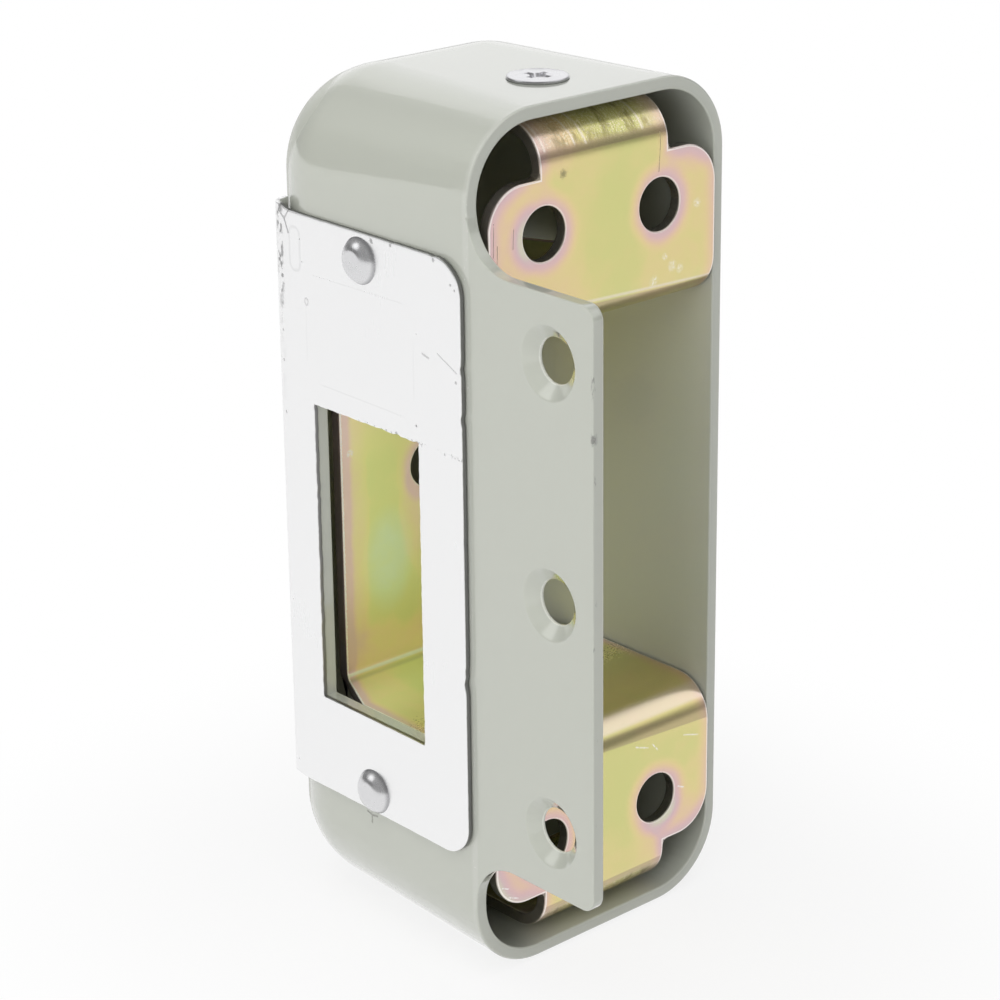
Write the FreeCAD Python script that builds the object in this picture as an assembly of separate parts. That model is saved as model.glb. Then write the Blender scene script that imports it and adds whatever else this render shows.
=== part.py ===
import FreeCAD, Part
import math
import os

# Strike box for a surface-mounted lock: a pressed cover with a screw flange, a bent fixing
# bracket inside it and a thin wear plate round the window that the bolt enters.
# Millimetres. The origin is the middle of the four frame screws, in the plane where the
# bracket's tabs lie on the door frame: X across, Y into the box, Z up, the window at -X.

# Cover, a drawn box that is open towards the frame
COVER_WIDTH = 40.0
COVER_HEIGHT = 105.0
COVER_DEPTH = 39.6
COVER_WALL = 1.6
RIM_CORNER_R = 9.8
BACK_R = 12.4
TAB_PROUD = 0.6

# Flange that carries the window wall on past the rim
FLANGE_LENGTH = 20.0
FLANGE_SETBACK = 16.8
FLANGE_END_R = 1.8
FLANGE_ROOT_R = 6.7
FACE_SHIFT = 0.2

# Countersunk holes in the flange
FLANGE_HOLES = 3
FLANGE_HOLE_FROM_SIDE = 7.0
FLANGE_HOLE_FROM_END = 7.7
FLANGE_HOLE_R = 2.65
FLANGE_SINK_R = 4.25
FLANGE_SINK_DEPTH = 1.3

# Wear plate, folded in at its far edge
PLATE_SHEET = 0.6
PLATE_SETBACK = 16.15
PLATE_FROM_RIM = 0.5
PLATE_FROM_BACK = 6.1
PLATE_CORNER_R = 4.0
PLATE_FOLD_R = 0.8
PLATE_LIP_CLEARANCE = 0.1

# Window for the bolt, just above the bracket's lower shelf
WINDOW_HEIGHT = 37.6
WINDOW_SILL = 1.1
WINDOW_FROM_RIM = 8.0
WINDOW_FROM_FOLD = 6.5
WINDOW_CLEARANCE = 0.15

# Rivets that hold the wear plate
RIVET_FROM_PLATE_END = 3.05
RIVET_FROM_RIM = 17.75
RIVET_SHIFT = -0.1
RIVET_HEAD_R = 2.8
RIVET_HEAD_HEIGHT = 1.25
RIVET_CROWN_R = 1.2
RIVET_BROW_R = 2.35
RIVET_BROW_HEIGHT = 0.65
RIVET_SHANK_R = 1.3
RIVET_TAIL_R = 2.0
RIVET_TAIL_HEIGHT = 0.8
RIVET_CLEARANCE = 0.05

# Bracket, one bent blank whose lips lie under the cover's top and bottom walls
BRACKET_SHEET = 1.5
LIP_GAP = 0.9
BRACKET_WINDOW_GAP = 1.05
BRACKET_FAR_GAP = 0.25
BRACKET_BACK_GAP = 5.5
SHOULDER_WIDTH = 7.75
SHOULDER_DROP = 5.85
NECK_ROOT_R = 0.8
TAB_HEIGHT = 19.15
TAB_CORNER_R = 5.0
TAB_BEND_R = 5.0
WEB_STEP = 3.6
WEB_BEND_R = 1.0
TAPER_LENGTH = 7.5
TAPER_R = 6.0
LIP_PAST_SCREW = 7.0
LIP_CORNER_R = 3.0

# Holes in the bracket
TAB_HOLE_SPACING = 18.0
TAB_HOLE_DROP = 6.35
TAB_HOLE_R = 3.15
WEB_HOLE_R = 3.0
COLLAR_WALL = 1.1

# Countersunk screws that hold the cover on the bracket's lips
SCREW_FROM_RIM = 9.4
SCREW_SHIFT = -0.7
SCREW_R = 2.0
SCREW_LENGTH = 8.0
SCREW_HEAD_R = 3.6
SCREW_HEAD_EDGE = 0.4
SCREW_PROUD = 0.35
SCREW_CLEARANCE = 0.06
RECESS_SPAN = 4.2
RECESS_SLOT = 0.85
RECESS_DEPTH = 1.3

# How far a cutting tool runs past what it cuts
OVERRUN = 1.0

RIM_Y = TAB_PROUD
BACK_Y = RIM_Y + COVER_DEPTH
FACE_X = -COVER_WIDTH / 2
FACE_INNER_X = FACE_X + COVER_WALL
PLATE_X = FACE_X - PLATE_SHEET
PLATE_NEAR_Y = RIM_Y + PLATE_FROM_RIM
PLATE_FAR_Y = BACK_Y - PLATE_FROM_BACK
PLATE_HALF = COVER_HEIGHT / 2 - PLATE_SETBACK
FLANGE_HALF = COVER_HEIGHT / 2 - FLANGE_SETBACK

BRACKET_MIN_X = FACE_INNER_X + BRACKET_WINDOW_GAP
BRACKET_MAX_X = COVER_WIDTH / 2 - COVER_WALL - BRACKET_FAR_GAP
BRACKET_MID_X = (BRACKET_MIN_X + BRACKET_MAX_X) / 2
BRACKET_HALF = (BRACKET_MAX_X - BRACKET_MIN_X) / 2
LIP_Z = COVER_HEIGHT / 2 - COVER_WALL - LIP_GAP
SHOULDER_Z = LIP_Z - SHOULDER_DROP
SHELF_Z = SHOULDER_Z - TAB_HEIGHT
WEB_Y = BACK_Y - COVER_WALL - BRACKET_BACK_GAP - BRACKET_SHEET

SCREW_Y = RIM_Y + SCREW_FROM_RIM
LIP_END_Y = SCREW_Y + LIP_PAST_SCREW


def vec(x, y, z):
    return FreeCAD.Vector(x, y, z)


def in_xz(y):
    # Places an outline's points in the plane across the box at depth y
    return lambda u, v: vec(u, y, v)


def in_yz(x):
    return lambda u, v: vec(x, u, v)


def in_xy(z):
    return lambda u, v: vec(u, v, z)


def corner_arc(before, corner, after, radius):
    # The two tangent points of a rounded corner, and the point halfway along its arc
    back = (before - corner).normalize()
    ahead = (after - corner).normalize()
    half = back.getAngle(ahead) / 2
    middle = (back + ahead).normalize()
    reach = radius / math.tan(half)
    top = corner + middle * (radius / math.sin(half) - radius)
    return corner + back * reach, top, corner + ahead * reach


def outline(corners, place):
    # A closed wire through (u, v, radius) corners, each with its own rounding
    flat = [vec(u, v, 0) for u, v, radius in corners]
    edges = []
    first = None
    last = None
    for i, (u, v, radius) in enumerate(corners):
        after = flat[(i + 1) % len(flat)]
        if radius > 0:
            start, top, end = corner_arc(flat[i - 1], flat[i], after, radius)
        else:
            start = top = end = flat[i]
        if last is not None and start.distanceToPoint(last) > 1e-6:
            edges.append(Part.makeLine(place(last.x, last.y), place(start.x, start.y)))
        if radius > 0:
            points = [place(p.x, p.y) for p in (start, top, end)]
            edges.append(Part.Arc(*points).toShape())
        first = first or start
        last = end
    if first.distanceToPoint(last) > 1e-6:
        edges.append(Part.makeLine(place(last.x, last.y), place(first.x, first.y)))
    return Part.Wire(edges)


def prism(corners, place, along):
    return Part.Face(outline(corners, place)).extrude(along)


def block(x0, y0, z0, x1, y1, z1):
    return Part.makeBox(x1 - x0, y1 - y0, z1 - z0, vec(x0, y0, z0))


def turned(wire, centre, axis):
    # Revolves a wire drawn in the XZ plane about Z, then stands it on a point and an axis
    solid = Part.Face(wire).revolve(vec(0, 0, 0), vec(0, 0, 1), 360)
    solid.Placement = FreeCAD.Placement(centre, FreeCAD.Rotation(vec(0, 0, 1), axis))
    return solid


def four_ways(tool):
    # A tool for one corner and its mirror images at the other three
    pair = [tool, tool.mirror(vec(0, 0, 0), vec(1, 0, 0))]
    return pair + [t.mirror(vec(0, 0, 0), vec(0, 0, 1)) for t in pair]


def corner_bullet(end, end_r, rim, rim_r):
    # What a drawn corner keeps: a cone that meets the back's ball without a crease
    run = rim - end
    sine = (end_r - rim_r) / run.Length
    cosine = math.sqrt(1 - sine ** 2)
    stop = run.Length + 2 * OVERRUN
    stop_r = end_r - sine * stop
    pole = vec(0, 0, -end_r)
    side = vec(end_r * math.sin(math.pi / 4), 0, -end_r * math.cos(math.pi / 4))
    seam = vec(end_r * cosine, 0, end_r * sine)
    mouth = vec(stop_r * cosine, 0, stop + stop_r * sine)
    axis_end = vec(0, 0, mouth.z)
    ball = Part.Arc(pole, side, seam).toShape()
    lines = [(seam, mouth), (mouth, axis_end), (axis_end, pole)]
    return turned(Part.Wire([ball] + [Part.makeLine(a, b) for a, b in lines]), end, run)


def corner_waste(inset):
    # What a square corner has and a drawn one lacks, from the rim's radius to the back's
    half_x = COVER_WIDTH / 2 - inset
    half_z = COVER_HEIGHT / 2 - inset
    rim_r = RIM_CORNER_R - inset
    end_r = BACK_R - inset
    end = vec(half_x - end_r, BACK_Y - inset - end_r, half_z - end_r)
    rim = vec(half_x - rim_r, RIM_Y, half_z - rim_r)
    slope = (rim - end) * (OVERRUN / (end.y - RIM_Y))
    near = rim + slope
    out_x = half_x + OVERRUN
    out_z = half_z + OVERRUN
    tapered = Part.makeWedge(near.x, near.y, near.z, end.z, end.x, out_x, end.y, out_z, out_z, out_x)
    straight = block(end.x, end.y, end.z, out_x, BACK_Y - inset + OVERRUN, out_z)
    return tapered.fuse(straight).cut(corner_bullet(end, end_r, rim, rim_r))


def drawn_form(inset):
    # Solid inside a drawn skin that opens towards the frame
    half_x = COVER_WIDTH / 2 - inset
    half_z = COVER_HEIGHT / 2 - inset
    back_y = BACK_Y - inset
    body = block(-half_x, RIM_Y, -half_z, half_x, back_y, half_z)
    back_edges = [e for e in body.Edges if all(abs(v.Y - back_y) < 1e-6 for v in e.Vertexes)]
    return body.makeFillet(BACK_R - inset, back_edges).cut(four_ways(corner_waste(inset)))


def flange():
    # The window wall carried on past the rim, with a root that runs out along the rim
    top = FACE_SHIFT + FLANGE_HALF
    bottom = FACE_SHIFT - FLANGE_HALF
    straight = COVER_HEIGHT / 2 - RIM_CORNER_R
    root = min(FLANGE_ROOT_R, straight - top - FACE_SHIFT)
    end = RIM_Y - FLANGE_LENGTH
    side = [
        (RIM_Y, bottom, root),
        (end, bottom, FLANGE_END_R),
        (end, top, FLANGE_END_R),
        (RIM_Y, top, root),
        (RIM_Y, top + root, 0),
        (RIM_Y + OVERRUN, top + root, 0),
        (RIM_Y + OVERRUN, bottom - root, 0),
        (RIM_Y, bottom - root, 0),
    ]
    return prism(side, in_yz(FACE_X), vec(COVER_WALL, 0, 0))


def countersink(mouth, inward, hole_r, sink_r, sink_depth, depth):
    # Cutter for a countersunk hole
    profile = [
        (0, -OVERRUN, 0),
        (sink_r, -OVERRUN, 0),
        (sink_r, 0, 0),
        (hole_r, sink_depth, 0),
        (hole_r, depth, 0),
        (0, depth, 0),
    ]
    return turned(outline(profile, in_xz(0)), mouth, inward)


def flange_holes():
    first = FLANGE_HALF - FLANGE_HOLE_FROM_END
    pitch = 2 * first / (FLANGE_HOLES - 1)
    y = RIM_Y - FLANGE_LENGTH + FLANGE_HOLE_FROM_SIDE
    depth = COVER_WALL + OVERRUN
    cutters = []
    for i in range(FLANGE_HOLES):
        mouth = vec(FACE_X, y, FACE_SHIFT + first - i * pitch)
        cutters.append(countersink(mouth, vec(1, 0, 0), FLANGE_HOLE_R, FLANGE_SINK_R, FLANGE_SINK_DEPTH, depth))
    return cutters


def screw_space(side):
    # The room that a cover screw needs in the wall and in the collar under it
    mouth = vec(SCREW_SHIFT, SCREW_Y, side * COVER_HEIGHT / 2)
    hole_r = SCREW_R + SCREW_CLEARANCE
    sink_r = SCREW_HEAD_R + SCREW_CLEARANCE
    return countersink(mouth, vec(0, 0, -side), hole_r, sink_r, sink_r - hole_r, SCREW_LENGTH)


def window_cutter(clearance):
    y0 = RIM_Y + WINDOW_FROM_RIM - clearance
    y1 = PLATE_FAR_Y - WINDOW_FROM_FOLD + clearance
    sill = WINDOW_SILL - SHELF_Z
    z0 = sill - clearance
    z1 = sill + WINDOW_HEIGHT + clearance
    return block(PLATE_X - OVERRUN, y0, z0, FACE_INNER_X + OVERRUN, y1, z1)


def rivet_centres():
    reach = PLATE_HALF - RIVET_FROM_PLATE_END
    y = RIM_Y + RIVET_FROM_RIM
    return [vec(PLATE_X, y, RIVET_SHIFT + side * reach) for side in (1, -1)]


def rivet_holes():
    length = PLATE_SHEET + COVER_WALL + 2 * OVERRUN
    starts = [centre - vec(OVERRUN, 0, 0) for centre in rivet_centres()]
    radius = RIVET_SHANK_R + RIVET_CLEARANCE
    return [Part.makeCylinder(radius, length, start, vec(1, 0, 0)) for start in starts]


def cover():
    shell = drawn_form(0).cut(drawn_form(COVER_WALL))
    body = shell.fuse(flange()).removeSplitter()
    tools = [window_cutter(WINDOW_CLEARANCE), screw_space(1), screw_space(-1)]
    return body.cut(tools + rivet_holes() + flange_holes())


def bracket_profile():
    # The bent strip seen along X: the side of the sheet that faces the frame, then its other
    t = BRACKET_SHEET
    inner = TAB_BEND_R - t
    near = [
        (LIP_END_Y, LIP_Z, 0),
        (0, LIP_Z, TAB_BEND_R),
        (0, SHELF_Z, TAB_BEND_R),
        (WEB_Y, SHELF_Z, WEB_BEND_R),
    ]
    far = [
        (WEB_Y + t, SHELF_Z + t, WEB_BEND_R + t),
        (t, SHELF_Z + t, inner),
        (t, LIP_Z - t, inner),
        (LIP_END_Y, LIP_Z - t, 0),
    ]
    below = [(y, -z, r) for y, z, r in reversed(near)]
    below_far = [(y, -z, r) for y, z, r in reversed(far)]
    return near + below + below_far + far


def front_outline():
    # What the blank shows from the front: two wide tabs, each with a narrower neck
    neck = BRACKET_HALF - SHOULDER_WIDTH
    top = LIP_Z + OVERRUN
    upper = [
        (BRACKET_HALF, SHOULDER_Z, TAB_CORNER_R),
        (neck, SHOULDER_Z, NECK_ROOT_R),
        (neck, top, 0),
        (-neck, top, 0),
        (-neck, SHOULDER_Z, NECK_ROOT_R),
        (-BRACKET_HALF, SHOULDER_Z, TAB_CORNER_R),
    ]
    lower = [(-x, -z, r) for x, z, r in upper]
    return [(BRACKET_MID_X + x, z, r) for x, z, r in upper + lower]


def plan_outline():
    # The shelves seen from above: full width, then a taper to the web
    web = BRACKET_HALF - WEB_STEP
    taper = WEB_Y - TAPER_LENGTH
    back = WEB_Y + BRACKET_SHEET + OVERRUN
    side = [(BRACKET_HALF, -OVERRUN, 0), (BRACKET_HALF, taper, TAPER_R), (web, WEB_Y, 0), (web, back, 0)]
    other = [(-x, y, r) for x, y, r in reversed(side)]
    return [(BRACKET_MID_X + x, y, r) for x, y, r in side + other]


def round_lips(strip):
    # Rounds the free corners of both lips
    edges = []
    for e in strip.Edges:
        ends = [v.Point for v in e.Vertexes]
        upright = len(ends) == 2 and abs(abs(ends[0].z - ends[1].z) - BRACKET_SHEET) < 1e-6
        if upright and all(abs(p.y - LIP_END_Y) < 1e-6 for p in ends):
            edges.append(e)
    return strip.makeFillet(LIP_CORNER_R, edges)


def screw_collar(side):
    # The threaded collar drawn out of a lip, on which the cover's wall lies
    foot = vec(SCREW_SHIFT, SCREW_Y, side * LIP_Z)
    return Part.makeCylinder(SCREW_R + COLLAR_WALL, LIP_GAP, foot, vec(0, 0, side))


def bracket_holes():
    through = BRACKET_SHEET + 2 * OVERRUN
    hole_z = SHOULDER_Z - TAB_HOLE_DROP
    web_mouth = vec(BRACKET_MID_X, WEB_Y - OVERRUN, 0)
    cutters = [Part.makeCylinder(WEB_HOLE_R, through, web_mouth, vec(0, 1, 0))]
    for x in (-TAB_HOLE_SPACING / 2, TAB_HOLE_SPACING / 2):
        for z in (-hole_z, hole_z):
            cutters.append(Part.makeCylinder(TAB_HOLE_R, through, vec(x, -OVERRUN, z), vec(0, 1, 0)))
    return cutters


def bracket():
    width = vec(2 * BRACKET_HALF, 0, 0)
    strip = prism(bracket_profile(), in_yz(BRACKET_MIN_X), width)
    reach = vec(0, WEB_Y + BRACKET_SHEET + 2 * OVERRUN, 0)
    strip = strip.common(prism(front_outline(), in_xz(-OVERRUN), reach))
    floor = -LIP_Z - OVERRUN
    strip = strip.common(prism(plan_outline(), in_xy(floor), vec(0, 0, -2 * floor)))
    body = round_lips(strip).fuse([screw_collar(1), screw_collar(-1)])
    return body.cut(bracket_holes() + [screw_space(1), screw_space(-1)])


def lip_tip_x():
    # Where the plate's folded lip would meet the cover's soft back edge, less its clearance
    inner_face = PLATE_FAR_Y - PLATE_SHEET
    rise = max(inner_face - (BACK_Y - BACK_R), 0)
    drop = BACK_R - math.sqrt(BACK_R ** 2 - rise ** 2)
    return FACE_X + drop - PLATE_LIP_CLEARANCE


def wear_plate():
    tip = lip_tip_x()
    top = FACE_SHIFT + PLATE_HALF
    bottom = FACE_SHIFT - PLATE_HALF
    inner_fold = min(PLATE_FOLD_R - PLATE_SHEET, tip - FACE_X)
    profile = [
        (PLATE_X, PLATE_NEAR_Y, 0),
        (FACE_X, PLATE_NEAR_Y, 0),
        (FACE_X, PLATE_FAR_Y - PLATE_SHEET, inner_fold),
        (tip, PLATE_FAR_Y - PLATE_SHEET, 0),
        (tip, PLATE_FAR_Y, 0),
        (PLATE_X, PLATE_FAR_Y, inner_fold + PLATE_SHEET),
    ]
    sheet = prism(profile, in_xy(bottom), vec(0, 0, top - bottom))
    past_fold = PLATE_FAR_Y + OVERRUN
    blank = [
        (PLATE_NEAR_Y, bottom, PLATE_CORNER_R),
        (past_fold, bottom, 0),
        (past_fold, top, 0),
        (PLATE_NEAR_Y, top, PLATE_CORNER_R),
    ]
    across = vec(tip - PLATE_X + 2 * OVERRUN, 0, 0)
    trimmed = sheet.common(prism(blank, in_yz(PLATE_X - OVERRUN), across))
    return trimmed.cut([window_cutter(0)] + rivet_holes())


def rivet(centre):
    # Stepped round head outside, shank through plate and wall, and a flattened tail inside
    grip = PLATE_SHEET + COVER_WALL
    end = grip + RIVET_TAIL_HEIGHT
    profile = [
        (0, -RIVET_HEAD_HEIGHT, 0),
        (RIVET_CROWN_R, -RIVET_HEAD_HEIGHT, 0),
        (RIVET_BROW_R, -RIVET_BROW_HEIGHT, 0),
        (RIVET_HEAD_R, 0, 0),
        (RIVET_SHANK_R, 0, 0),
        (RIVET_SHANK_R, grip, 0),
        (RIVET_TAIL_R, grip, 0),
        (RIVET_TAIL_R, end, 0),
        (0, end, 0),
    ]
    return turned(outline(profile, in_xz(0)), centre, vec(1, 0, 0))


def cross_recess(top_z):
    # Tapered cross in a screw head, as two crossed wedges
    solids = []
    for turn in (0, 90):
        half = RECESS_SPAN / 2
        foot = RECESS_SLOT / 2
        side = [(-half, OVERRUN, 0), (-half, 0, 0), (-foot, -RECESS_DEPTH, 0)]
        side += [(-x, z, r) for x, z, r in reversed(side)]
        wedge = prism(side, in_xz(-RECESS_SLOT / 2), vec(0, RECESS_SLOT, 0))
        wedge.rotate(vec(0, 0, 0), vec(0, 0, 1), turn)
        solids.append(wedge)
    cross = solids[0].fuse(solids[1])
    cross.translate(vec(0, 0, top_z))
    return cross


def screw(side):
    # Countersunk screw, made upright at the origin with its head's face a little proud
    neck = SCREW_PROUD - SCREW_HEAD_EDGE - (SCREW_HEAD_R - SCREW_R)
    end = SCREW_PROUD - SCREW_LENGTH
    profile = [
        (0, end, 0),
        (SCREW_R, end, 0),
        (SCREW_R, neck, 0),
        (SCREW_HEAD_R, SCREW_PROUD - SCREW_HEAD_EDGE, 0),
        (SCREW_HEAD_R, SCREW_PROUD, 0),
        (0, SCREW_PROUD, 0),
    ]
    upright = vec(0, 0, 1)
    body = turned(outline(profile, in_xz(0)), vec(0, 0, 0), upright).cut(cross_recess(SCREW_PROUD))
    if side < 0:
        body.rotate(vec(0, 0, 0), vec(1, 0, 0), 180)
    body.translate(vec(SCREW_SHIFT, SCREW_Y, side * COVER_HEIGHT / 2))
    return body


def main():
    upper, lower = rivet_centres()
    pieces = {
        "cover": cover(),
        "bracket": bracket(),
        "wear_plate": wear_plate(),
        "upper_rivet": rivet(upper),
        "lower_rivet": rivet(lower),
        "top_screw": screw(1),
        "bottom_screw": screw(-1),
    }
    os.makedirs("parts", exist_ok=True)
    for name, shape in pieces.items():
        solids = shape.Solids
        print(name, len(solids), shape.isValid(), round(shape.Volume, 2), shape.BoundBox)
        solids[0].exportStep(os.path.join("parts", name + ".step"))


main()
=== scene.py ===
import math
from functools import reduce

import bmesh
import bpy
from bpy.props import FloatProperty, FloatVectorProperty, PointerProperty
from mathutils import Matrix, Vector, noise


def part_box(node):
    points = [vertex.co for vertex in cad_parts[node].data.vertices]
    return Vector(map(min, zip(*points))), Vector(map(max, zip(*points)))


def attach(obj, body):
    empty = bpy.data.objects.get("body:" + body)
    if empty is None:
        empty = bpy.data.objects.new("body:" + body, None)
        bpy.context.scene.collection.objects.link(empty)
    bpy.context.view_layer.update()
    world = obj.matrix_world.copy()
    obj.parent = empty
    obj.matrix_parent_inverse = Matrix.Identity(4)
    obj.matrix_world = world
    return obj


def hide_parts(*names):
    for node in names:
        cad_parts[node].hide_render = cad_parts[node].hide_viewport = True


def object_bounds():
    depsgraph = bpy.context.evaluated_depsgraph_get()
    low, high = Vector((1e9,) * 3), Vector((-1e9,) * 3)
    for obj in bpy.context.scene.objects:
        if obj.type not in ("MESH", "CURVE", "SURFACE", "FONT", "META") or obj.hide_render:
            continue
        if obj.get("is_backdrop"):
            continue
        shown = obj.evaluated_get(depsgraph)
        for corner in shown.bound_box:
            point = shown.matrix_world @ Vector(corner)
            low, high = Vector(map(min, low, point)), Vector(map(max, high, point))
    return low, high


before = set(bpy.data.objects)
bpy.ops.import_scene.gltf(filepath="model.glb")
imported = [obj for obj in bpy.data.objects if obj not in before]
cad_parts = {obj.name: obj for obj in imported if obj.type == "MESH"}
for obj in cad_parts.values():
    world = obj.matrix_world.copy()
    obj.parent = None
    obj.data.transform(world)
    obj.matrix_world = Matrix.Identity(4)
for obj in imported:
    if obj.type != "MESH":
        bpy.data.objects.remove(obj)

bl_info = {
    "name": "Door strike box",
    "version": (1, 0, 0),
    "blender": (4, 5, 0),
    "location": "View3D > Sidebar > Strike box",
    "description": "Dresses the strike box for a door lock: painted cover, bent bracket, wear plate, rivets and screws",
    "category": "Object",
}

MM = 0.001
PLATE_LOW, PLATE_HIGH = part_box("wear_plate")

# Places that the pieces and their finishes share, in mm
RIM_HALF = (20.0, 52.5)
RIM_CORNER = 9.8
UV_UNIT = 100.0
FLANGE_HOLE_Y = -12.4
FLANGE_HOLES_Z = (28.2, 0.2, -27.8)
WINDOW_Y = (8.6, 27.6)
WINDOW_Z = (-23.9, 13.7)
RIVET_Y = 18.35
STRIP_X = 0.4
STRIP_HALF = 17.75
WEB_HALF = 14.15
WEB_Y = 31.6
SHELF_Z = 25.0


def length(name, text, value):
    return FloatProperty(name=name, description=text, default=value, unit="LENGTH", precision=5)


def number(name, text, value):
    return FloatProperty(name=name, description=text, default=value)


def turn(name, text, degrees):
    return FloatProperty(name=name, description=text, default=math.radians(degrees), subtype="ANGLE")


def colour(name, text, value):
    return FloatVectorProperty(name=name, description=text, default=value, size=3, min=0.0, max=1.0, subtype="COLOR")


class CoverLook(bpy.types.PropertyGroup):
    paint: colour("Paint", "Grey-green stoving paint on the cover", (0.51, 0.528, 0.464))
    thin_paint: colour("Thin paint", "Paint where it runs thin on an edge", (0.66, 0.67, 0.63))
    rim_edge: length("Rim edge", "Rounding of the rim's inner edge", 0.00014)
    outer_edge: length("Outer edge", "Rounding of the rim's outer edge", 0.0003)
    flange_edge: length("Flange edge", "Rounding of the flange's edges", 0.00016)
    sink_edge: length("Countersink edge", "Rounding of the countersinks", 0.00014)
    orange_peel: length("Orange peel depth", "Depth of the paint's fine waves", 0.000005)
    peel_size: length("Orange peel size", "Distance between the paint's fine waves", 0.0011)


class BracketLook(bpy.types.PropertyGroup):
    green: colour("Green film", "Yellow-green of the thickest passivation", (0.67, 0.66, 0.27))
    yellow: colour("Yellow film", "Yellow of most of the bracket", (0.79, 0.67, 0.31))
    orange: colour("Orange film", "Orange between yellow and pink", (0.82, 0.62, 0.36))
    pink: colour("Pink film", "Pink near edges and holes", (0.78, 0.54, 0.49))
    violet: colour("Violet film", "Violet close to the holes", (0.68, 0.48, 0.53))
    pale: colour("Pale film", "Pale green ring right at an edge", (0.68, 0.7, 0.52))
    cut: colour("Cut edge", "Dull grey of the sheared edges and the holes' walls", (0.23, 0.225, 0.19))
    edge: length("Edge rounding", "Rounding of the sheet's cut edges", 0.00022)
    grain: length("Grain depth", "Depth of the satin grain", 0.000003)


class PlateLook(bpy.types.PropertyGroup):
    metal: colour("Sheet", "Bright rolled sheet", (0.925, 0.925, 0.928))
    # Dark partly as the sheared edge's own grey and partly as painted shade along the sheet's edge
    cut: colour("Cut edge", "Sheared edge of the sheet", (0.26, 0.26, 0.26))
    worn: colour("Worn sheet", "Dull grey where the fold has cracked", (0.3, 0.3, 0.3))
    sheet: length("Thickness", "Thickness of the sheet", 0.0006)
    fold: length("Fold radius", "Outer radius of the folded far edge", 0.0008)
    corner: length("Corner radius", "Radius of both near corners", 0.004)
    cell: length("Cell", "Size of the grid that carries the ragged edges", 0.00045)
    bow: length("Bow", "How far the near edge stands off the cover", 0.00025)
    ragged: length("Raggedness", "How far the sheared edges wander", 0.00006)
    edge: length("Edge rounding", "Rounding of the sheared edges", 0.00007)


class FastenerLook(bpy.types.PropertyGroup):
    rivet: colour("Rivet", "Bright steel of the rivets", (0.74, 0.74, 0.75))
    screw: colour("Screw", "Clear zinc plate on the screws", (0.73, 0.73, 0.75))
    pitch: length("Thread pitch", "Pitch of the cover screws' thread", 0.0007)
    thread: length("Thread depth", "Depth of the thread", 0.00036)
    recess: length("Recess span", "Span of the cross recess", 0.004)
    slot: length("Recess slot", "Width of the recess's slots", 0.0009)


class StageLook(bpy.types.PropertyGroup):
    eye: FloatVectorProperty(
        name="Camera place", description="Where the camera stands", size=3, subtype="TRANSLATION", unit="LENGTH",
        default=(-0.225538, -0.235856, 0.128969))
    heading: turn("Camera heading", "Turn from +Y towards +X", 43.282)
    pitch: turn("Camera pitch", "Angle below the horizon", 19.718)
    roll: turn("Camera roll", "Clockwise tilt of the camera", 0.13)
    lens: number("Lens", "Focal length for a 36 mm sensor, in mm", 107.825)
    floor: colour("Floor", "White table", (0.8, 0.8, 0.8))
    sky: number("Surround light", "Strength of the light from all round", 0.23)
    key: number("Top lamp", "Power of the large lamp above, in W", 8.6)
    side: number("Left lamp", "Power of the large lamp on the left, in W", 11.0)
    fill: number("Front lamp", "Power of the lamp in front, in W", 0.7)
    dim: number("Room", "Brightness of the room in reflections", 0.34)


# Shading

def both_ways(operation):
    """An operator on wires, and its reflected form"""
    return lambda a, b: a.op(operation, a, b), lambda a, b: a.op(operation, b, a)


class Wire:
    """A value in a material, so that shader maths can be written as sums"""

    def __init__(self, finish, socket):
        self.finish = finish
        self.socket = socket

    def op(self, operation, *values, clamp=False):
        return self.finish.node("Math", dict(enumerate(values)), operation=operation, use_clamp=clamp)

    __add__, __radd__ = both_ways("ADD")
    __sub__, __rsub__ = both_ways("SUBTRACT")
    __mul__, __rmul__ = both_ways("MULTIPLY")
    __truediv__, __rtruediv__ = both_ways("DIVIDE")

    def __pow__(self, other):
        return self.op("POWER", self, other)

    def __abs__(self):
        return self.op("ABSOLUTE", self)

    def least(self, other):
        return self.op("MINIMUM", self, other)

    def most(self, other):
        return self.op("MAXIMUM", self, other)

    def clamped(self):
        return self.op("ADD", self, 0.0, clamp=True)

    def rise(self, low, high):
        """0 below low, 1 above high, and smooth between"""
        return self.finish.node("MapRange", {"Value": self, 1: low, 2: high}, interpolation_type="SMOOTHSTEP")

    def fall(self, low, high):
        return 1.0 - self.rise(low, high)


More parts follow.
